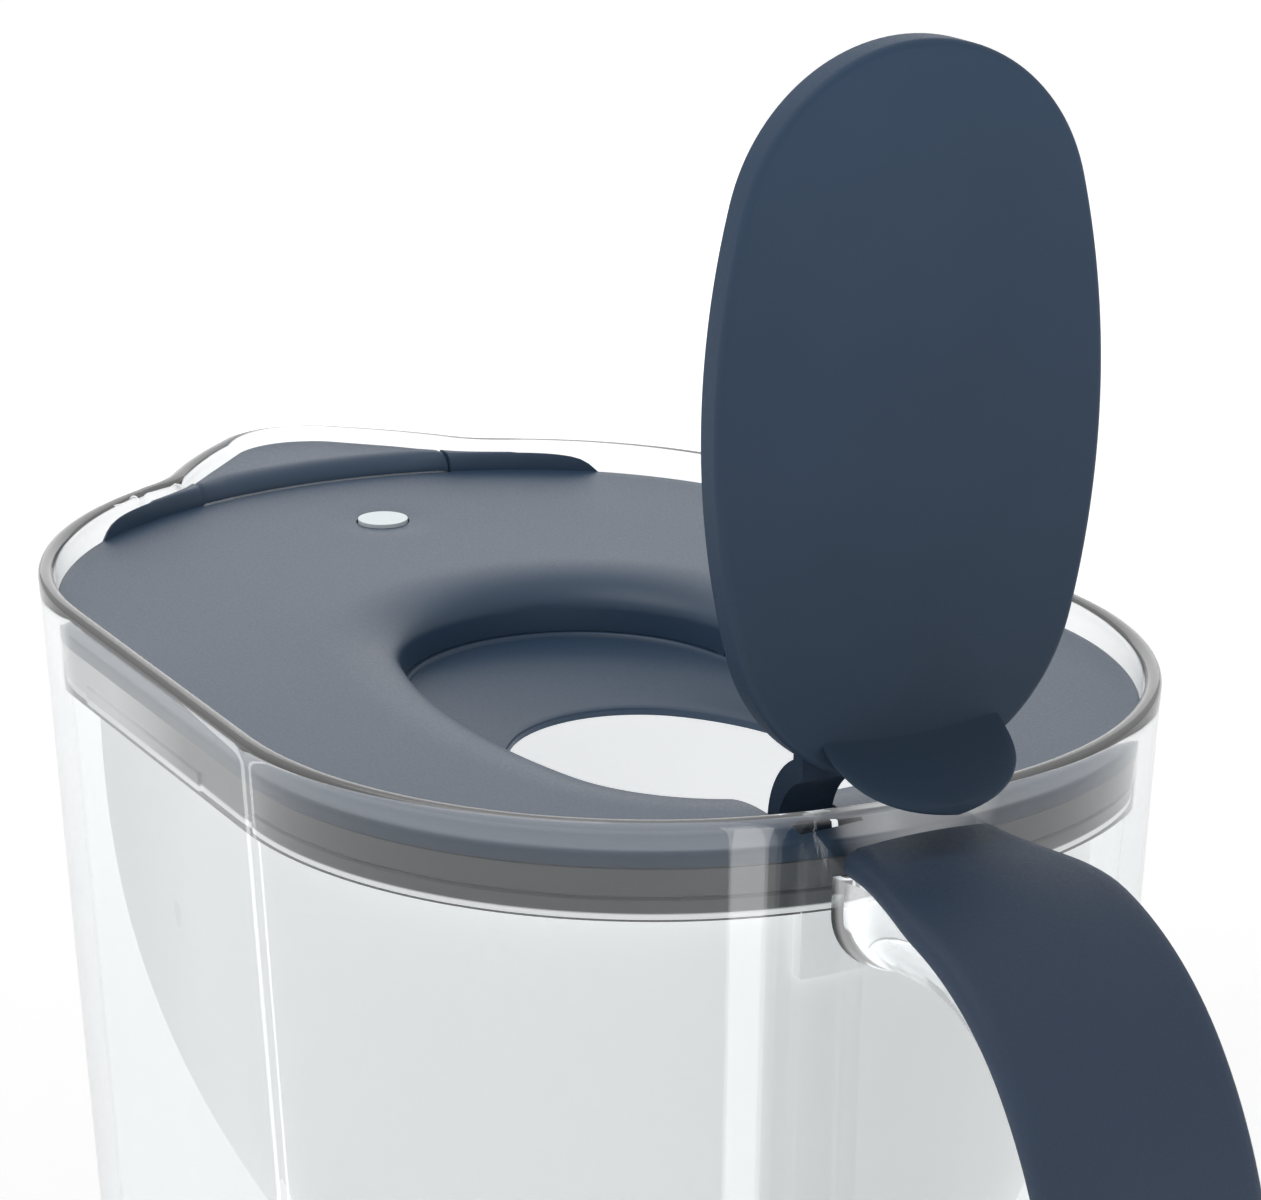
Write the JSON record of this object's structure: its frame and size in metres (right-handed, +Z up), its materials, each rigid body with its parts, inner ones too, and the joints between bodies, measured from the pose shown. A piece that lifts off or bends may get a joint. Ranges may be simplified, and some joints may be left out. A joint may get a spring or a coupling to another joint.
{
  "type": "water filter pitcher",
  "caption": "Clear oval jug with spout and covered loop handle, lift-out funnel and filter cartridge, and a dished lid with a hinged fill flap and a change indicator.",
  "frame": {"origin": "centre of the base, on the table, midway between the front and the rear of the rim", "axes": "+Z up, +X towards the handle, the spout points to -X"},
  "size_m": [0.2452, 0.1252, 0.3534],
  "materials": {
    "clear_plastic": "clear polished styrene copolymer",
    "soft_touch_blue": "dark slate blue, soft-touch satin",
    "flap_blue": "dark slate blue, fine satin",
    "lid_blue": "slate blue, fine satin",
    "pod_blue": "slate blue, fine satin",
    "milky_plastic": "milky translucent white",
    "cartridge_white": "white, satin",
    "indicator_white": "white translucent",
    "foot_rubber": "dark blue, matt",
    "seal_rubber": "black, matt",
    "screen_mesh": "fine non-woven mesh",
    "filter_granules": "carbon and resin granules",
    "circuit_board": "green solder mask",
    "switch_black": "black moulded",
    "lamp_white": "clear cast",
    "cell_steel": "drawn steel",
    "contact_brass": "sprung strip",
    "screw_steel": "zinc plated",
    "pin_steel": "ground pin"
  },
  "bodies": {
    "jug": {"jug_body": "clear_plastic", "handle_grip": "soft_touch_blue", "base_pad": "foot_rubber"},
    "funnel": {"funnel": "milky_plastic"},
    "cartridge": {"cartridge_shell": "cartridge_white", "cartridge_seal": "seal_rubber", "cartridge_cap": "cartridge_white", "cartridge_pull_loop": "cartridge_white", "cartridge_lower_screen": "screen_mesh", "cartridge_upper_screen": "screen_mesh", "filter_media": "filter_granules"},
    "lid": {"lid_top": "lid_blue", "lid_basin": "lid_blue", "indicator_housing": "pod_blue", "indicator_board": "circuit_board", "reset_switch": "switch_black", "indicator_lamps": "lamp_white", "coin_cell": "cell_steel", "cell_contact": "contact_brass", "battery_door": "pod_blue", "battery_door_screws": "screw_steel"},
    "indicator_disc": {"indicator_disc": "indicator_white"},
    "fill_flap": {"flap_panel": "flap_blue", "flap_liner": "flap_blue", "flap_arms": "flap_blue", "flap_hinge_pin": "pin_steel"},
    "spout_flap": {"spout_flap": "lid_blue", "spout_flap_pins": "lid_blue"}
  },
  "joints": [
    {"name": "funnel_lift", "type": "slide", "parent": "jug", "child": "funnel", "axis": [0, 0, 1], "range_m": [0, 0.12]},
    {"name": "cartridge_lift", "type": "slide", "parent": "funnel", "child": "cartridge", "axis": [0, 0, 1], "range_m": [0, 0.035]},
    {"name": "lid_lift", "type": "slide", "parent": "funnel", "child": "lid", "axis": [0, 0, 1], "range_m": [0, 0.05]},
    {"name": "indicator_press", "type": "slide", "parent": "lid", "child": "indicator_disc", "axis": [0, 0, -1], "range_m": [0, 0.0006], "stiffness_N_per_m": 400},
    {"name": "fill_flap_hinge", "type": "hinge", "parent": "lid", "child": "fill_flap", "pos_m": [0.0796, 0, 0.2515], "axis": [0, 1, 0], "range_deg": [-90, 0]},
    {"name": "spout_flap_hinge", "type": "hinge", "parent": "lid", "child": "spout_flap", "pos_m": [-0.082, 0, 0.25975], "axis": [0, 1, 0], "range_deg": [0, 50]}
  ]
}
